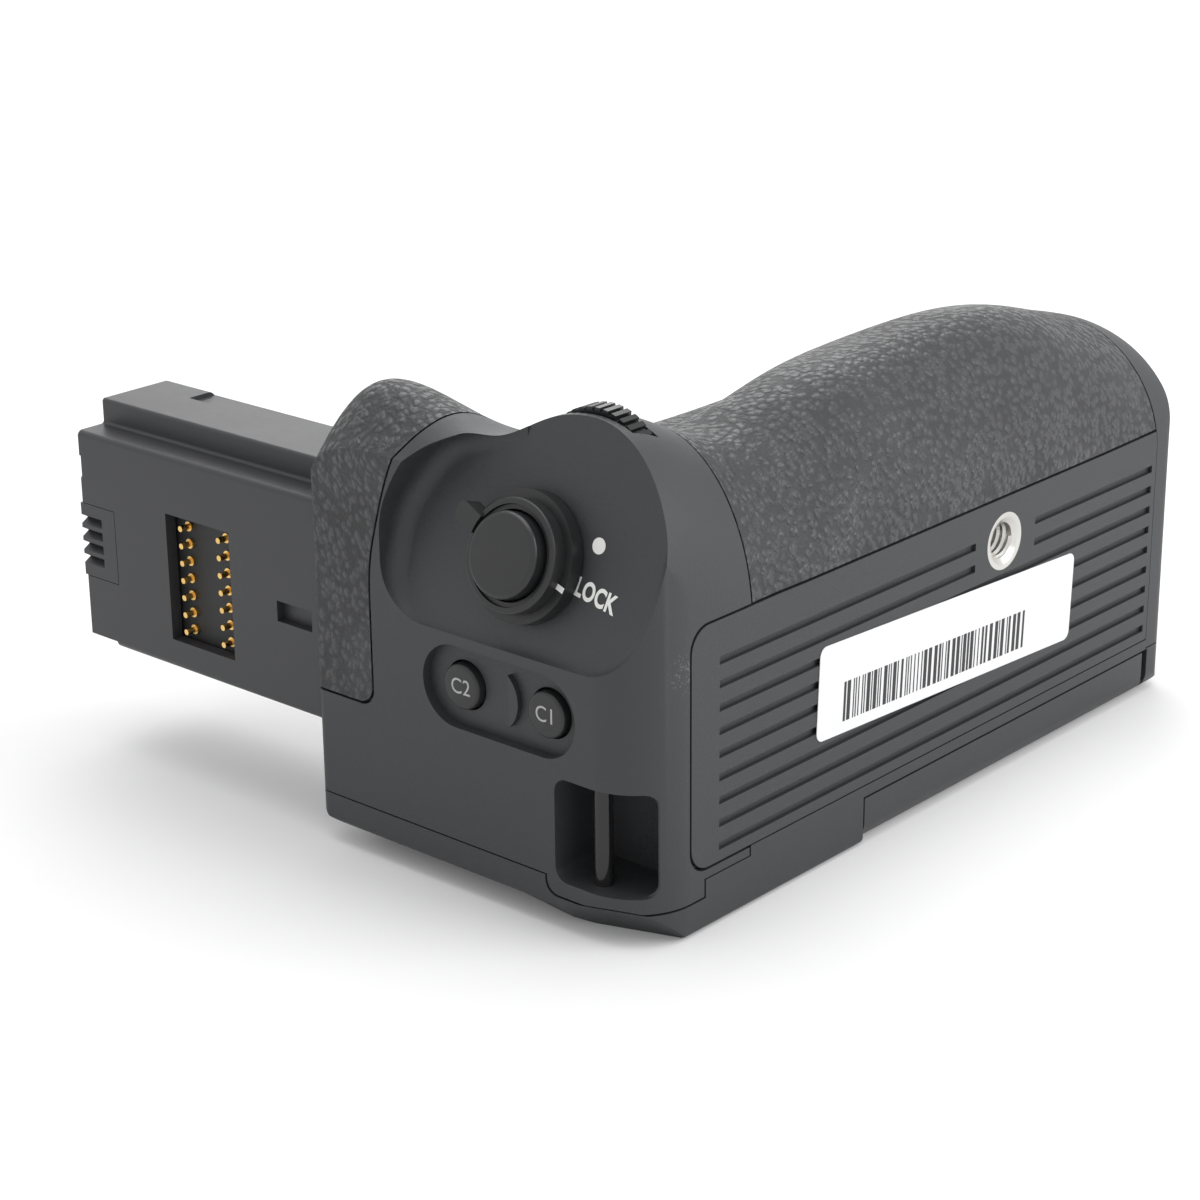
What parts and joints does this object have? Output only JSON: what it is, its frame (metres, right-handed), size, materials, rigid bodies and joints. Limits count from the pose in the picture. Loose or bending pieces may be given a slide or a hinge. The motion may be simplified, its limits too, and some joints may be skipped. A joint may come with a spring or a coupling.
{
  "type": "camera battery grip",
  "caption": "Vertical-shooting battery grip for a camera, with hand grip, shutter end, connector column, dials, attachment screw and battery tray behind a rear door.",
  "frame": {"origin": "middle of the bounding box in X and Y, on the surface the grip lies on with its rear face down", "axes": "+X along the body from the shutter end to the far end, +Y from the tripod base towards the camera and the connector column, +Z from the rear face to the front of the hand grip"},
  "size_m": [0.1267, 0.108, 0.0668],
  "materials": {
    "housing_plastic": "fine-grained matte charcoal",
    "inner_plastic": "plain matte black",
    "door_plastic": "pebbled matte charcoal",
    "leather_rubber": "pebbled leather-look rubber",
    "pad_rubber": "smooth rubber",
    "dial_rubber": "ribbed satin",
    "gloss_plastic": "satin to glossy black",
    "component_black": "moulded black",
    "pack_plastic": "smooth dark grey",
    "socket_metal": "turned steel",
    "screw_steel": "black oxide steel",
    "dome_steel": "spring steel",
    "contact_gold": "gold-plated",
    "board_green": "solder-masked board"
  },
  "bodies": {
    "housing": {"end_cap": "housing_plastic", "corner_leather": "leather_rubber", "hand_grip_leather": "leather_rubber", "thumb_leather": "leather_rubber", "front_shell": "inner_plastic", "rear_shell": "housing_plastic", "base_shell": "housing_plastic", "end_strip": "housing_plastic", "mating_plate": "housing_plastic", "mating_pad": "pad_rubber", "housing_screws": "screw_steel", "locating_pin": "socket_metal", "tripod_socket": "socket_metal", "drive_frame": "inner_plastic", "battery_bay": "inner_plastic", "bay_contacts": "contact_gold", "circuit_board": "board_green", "board_components": "component_black", "door_hinge_pin": "screw_steel", "shutter_collar": "inner_plastic", "shutter_switch": "component_black", "button_board": "board_green", "rear_board": "board_green", "button_domes": "dome_steel", "dial_axles": "screw_steel", "strap_bar": "housing_plastic", "joystick_housing": "component_black", "column_shell": "housing_plastic", "column_cover": "housing_plastic", "column_contact_block": "component_black", "column_contacts": "contact_gold", "column_end_insert": "component_black", "shutter_spring": "dome_steel"},
    "shutter_button": {"shutter_button": "gloss_plastic"},
    "lock_lever": {"lock_lever": "gloss_plastic"},
    "custom_one": {"custom_button_one": "gloss_plastic"},
    "custom_two": {"custom_button_two": "gloss_plastic"},
    "front_dial": {"front_dial": "dial_rubber"},
    "rear_dial": {"rear_dial": "dial_rubber"},
    "focus_button": {"focus_button": "gloss_plastic"},
    "exposure_button": {"exposure_button": "gloss_plastic"},
    "stick_gimbal": {"joystick_gimbal": "component_black"},
    "stick_stem": {"joystick_stem": "dome_steel"},
    "stick_cap": {"joystick_cap": "dial_rubber"},
    "attachment_dial": {"attachment_dial": "dial_rubber"},
    "attachment_screw": {"attachment_screw": "socket_metal"},
    "door": {"battery_door": "door_plastic"},
    "door_lever": {"door_lever": "gloss_plastic"},
    "tray": {"battery_tray": "inner_plastic", "battery_pack_lower": "pack_plastic", "battery_pack_upper": "pack_plastic"}
  },
  "joints": [
    {"name": "shutter_press", "type": "slide", "parent": "housing", "child": "shutter_button", "axis": [0.9511, 0, -0.309], "range_m": [0, 0.0012], "stiffness_N_per_m": 400, "springref_m": -0.0005, "deforming": ["shutter_spring"]},
    {"name": "lock_turn", "type": "hinge", "parent": "housing", "child": "lock_lever", "pos_m": [-0.05586, -0.0316, 0.0479], "axis": [-0.9511, 0, 0.309], "range_deg": [0, 38]},
    {"name": "custom_one_press", "type": "slide", "parent": "housing", "child": "custom_one", "axis": [1, 0, 0], "range_m": [0, 0.0008], "stiffness_N_per_m": 300, "springref_m": -0.0005},
    {"name": "custom_two_press", "type": "slide", "parent": "housing", "child": "custom_two", "axis": [1, 0, 0], "range_m": [0, 0.0008], "stiffness_N_per_m": 300, "springref_m": -0.0005},
    {"name": "front_dial_spin", "type": "hinge", "parent": "housing", "child": "front_dial", "pos_m": [-0.0471, -0.03645, 0.058], "axis": [1, 0, 0], "continuous": true},
    {"name": "rear_dial_spin", "type": "hinge", "parent": "housing", "child": "rear_dial", "pos_m": [-0.0541, -0.01705, 0.0091], "axis": [1, 0, 0], "continuous": true},
    {"name": "focus_press", "type": "slide", "parent": "housing", "child": "focus_button", "axis": [0, 0, 1], "range_m": [0, 0.0008], "stiffness_N_per_m": 300, "springref_m": -0.0005},
    {"name": "exposure_press", "type": "slide", "parent": "housing", "child": "exposure_button", "axis": [0, 0, 1], "range_m": [0, 0.0008], "stiffness_N_per_m": 300, "springref_m": -0.0005},
    {"name": "stick_tilt_y", "type": "hinge", "parent": "housing", "child": "stick_gimbal", "pos_m": [-0.0315, -0.01205, 0.0073], "axis": [1, 0, 0], "range_deg": [-6, 6], "stiffness_Nm_per_rad": 0.02},
    {"name": "stick_tilt_x", "type": "hinge", "parent": "stick_gimbal", "child": "stick_stem", "pos_m": [-0.0315, -0.01205, 0.0073], "axis": [0, 1, 0], "range_deg": [-6, 6], "stiffness_Nm_per_rad": 0.02},
    {"name": "stick_press", "type": "slide", "parent": "stick_stem", "child": "stick_cap", "axis": [0, 0, 1], "range_m": [0, 0.0004], "stiffness_N_per_m": 300, "springref_m": -0.0005},
    {"name": "attachment_dial_spin", "type": "hinge", "parent": "housing", "child": "attachment_dial", "pos_m": [0.0175, -0.00095, 0.0155], "axis": [0, 1, 0], "continuous": true},
    {"name": "attachment_screw_spin", "type": "hinge", "parent": "housing", "child": "attachment_screw", "pos_m": [0.0175, -0.00095, 0.0355], "axis": [0, 1, 0], "continuous": true},
    {"name": "door_swing", "type": "hinge", "parent": "housing", "child": "door", "pos_m": [0.0563, -0.02905, 0.0013], "axis": [0, -1, 0], "range_deg": [0, 95]},
    {"name": "door_lever_slide", "type": "slide", "parent": "door", "child": "door_lever", "axis": [1, 0, 0], "range_m": [0, 0.004]},
    {"name": "tray_slide", "type": "slide", "parent": "housing", "child": "tray", "axis": [0, 0, -1], "range_m": [0, 0.0241]}
  ],
  "couplings": [
    {"joint": "attachment_screw_spin", "follows": "attachment_dial_spin", "ratio": -2.3333},
    {"joint": "tray_slide", "follows": "door_swing", "m_per_rad": 0.0145}
  ]
}
